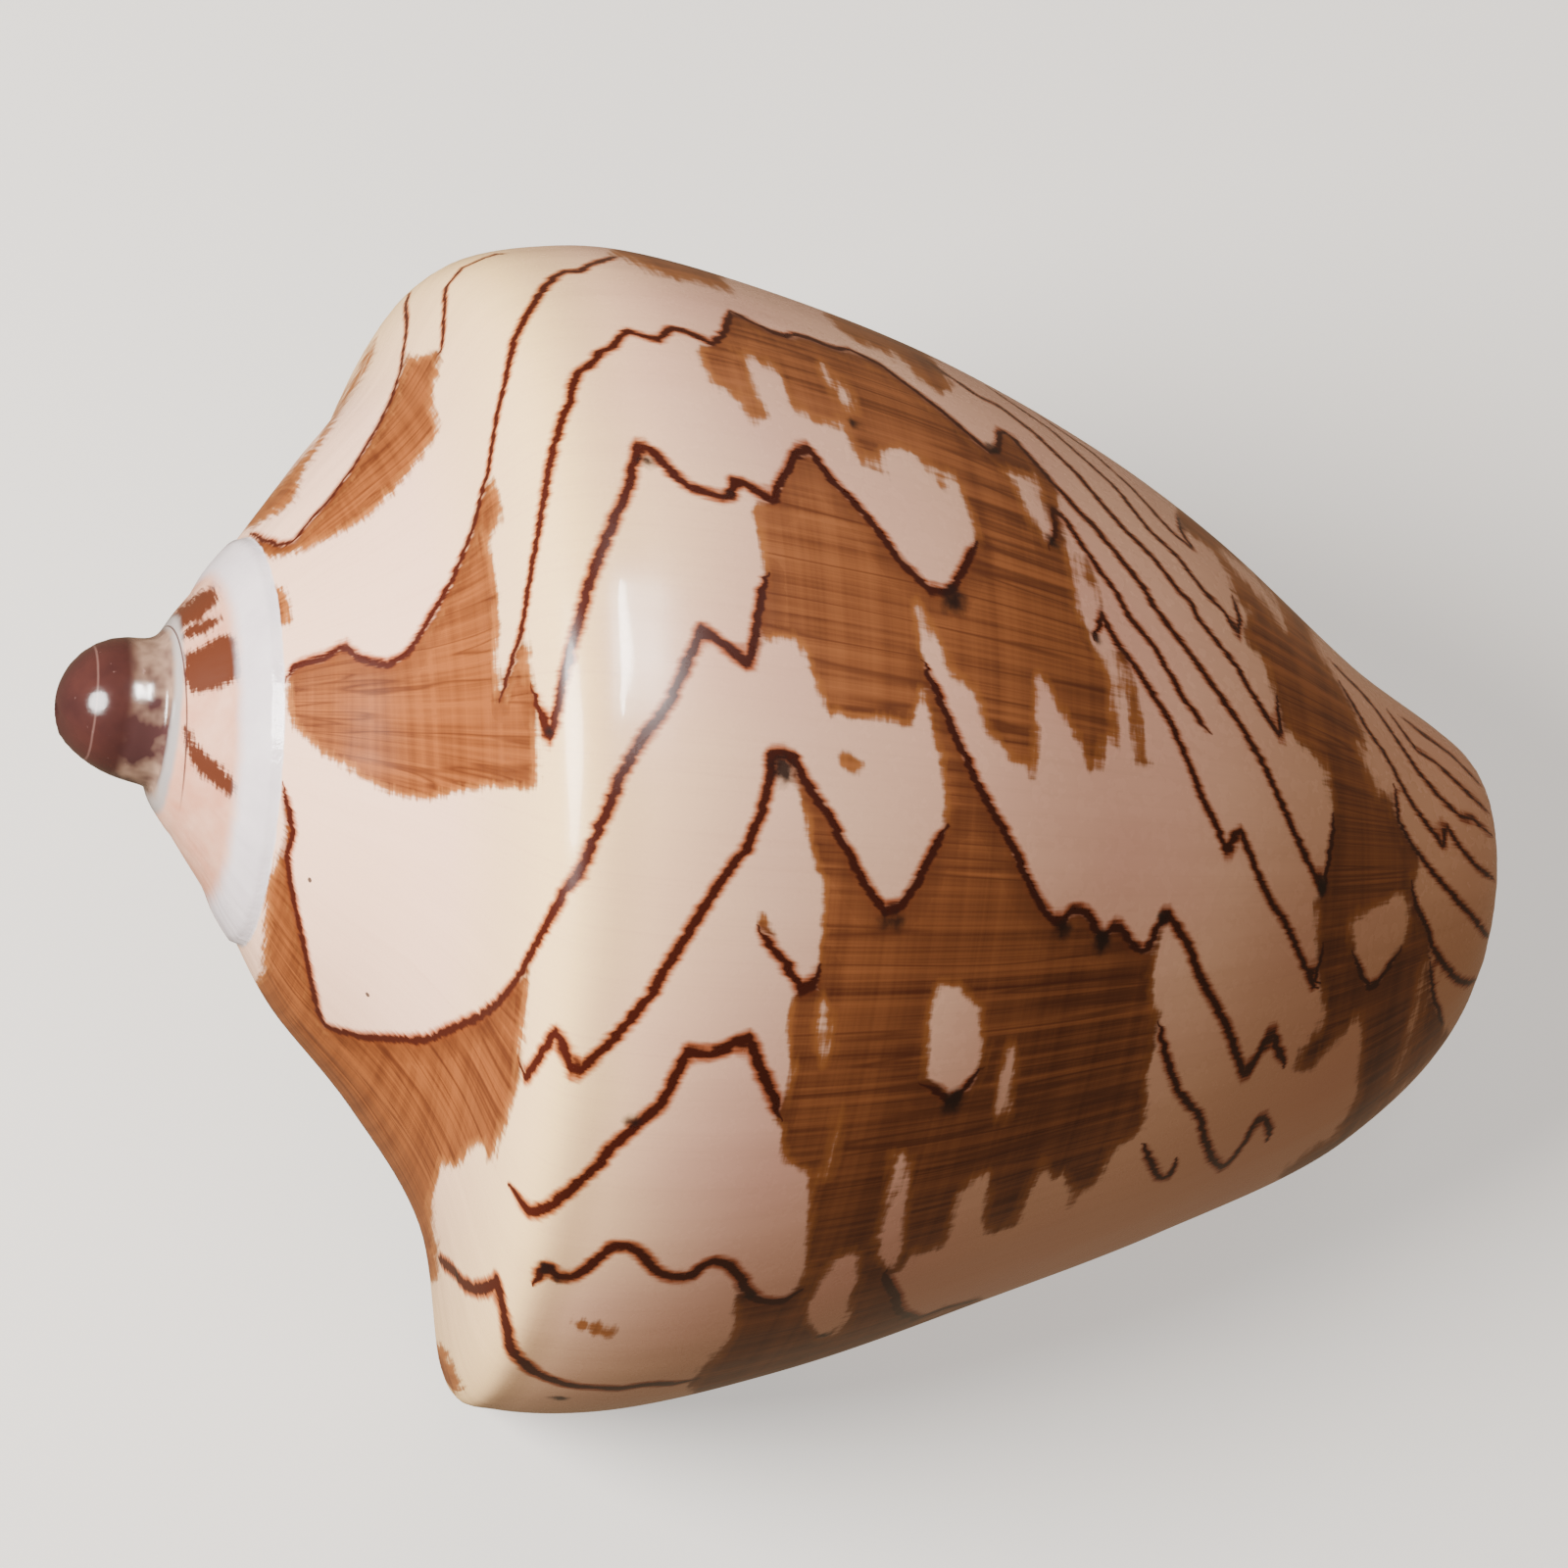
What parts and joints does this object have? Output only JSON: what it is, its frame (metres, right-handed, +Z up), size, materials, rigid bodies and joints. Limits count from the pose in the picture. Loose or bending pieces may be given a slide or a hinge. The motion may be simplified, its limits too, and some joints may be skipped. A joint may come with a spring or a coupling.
{
  "type": "volute shell",
  "caption": "Glossy cream volute seashell with brown zigzag markings, a low spire with a smooth dark dome and a long opening, lying on its opening.",
  "frame": {"origin": "centre of the bounding box, on the surface that the shell rests on", "axes": "+X from the apex towards the siphon end, +Z up as it lies on its opening, lip on the -Y side"},
  "size_m": [0.1106, 0.084, 0.0729],
  "materials": {
    "shell": "glossy natural shell, cream with orange-brown patches and dark zigzag lines"
  },
  "bodies": {
    "root": {"shell": "shell"}
  },
  "joints": []
}
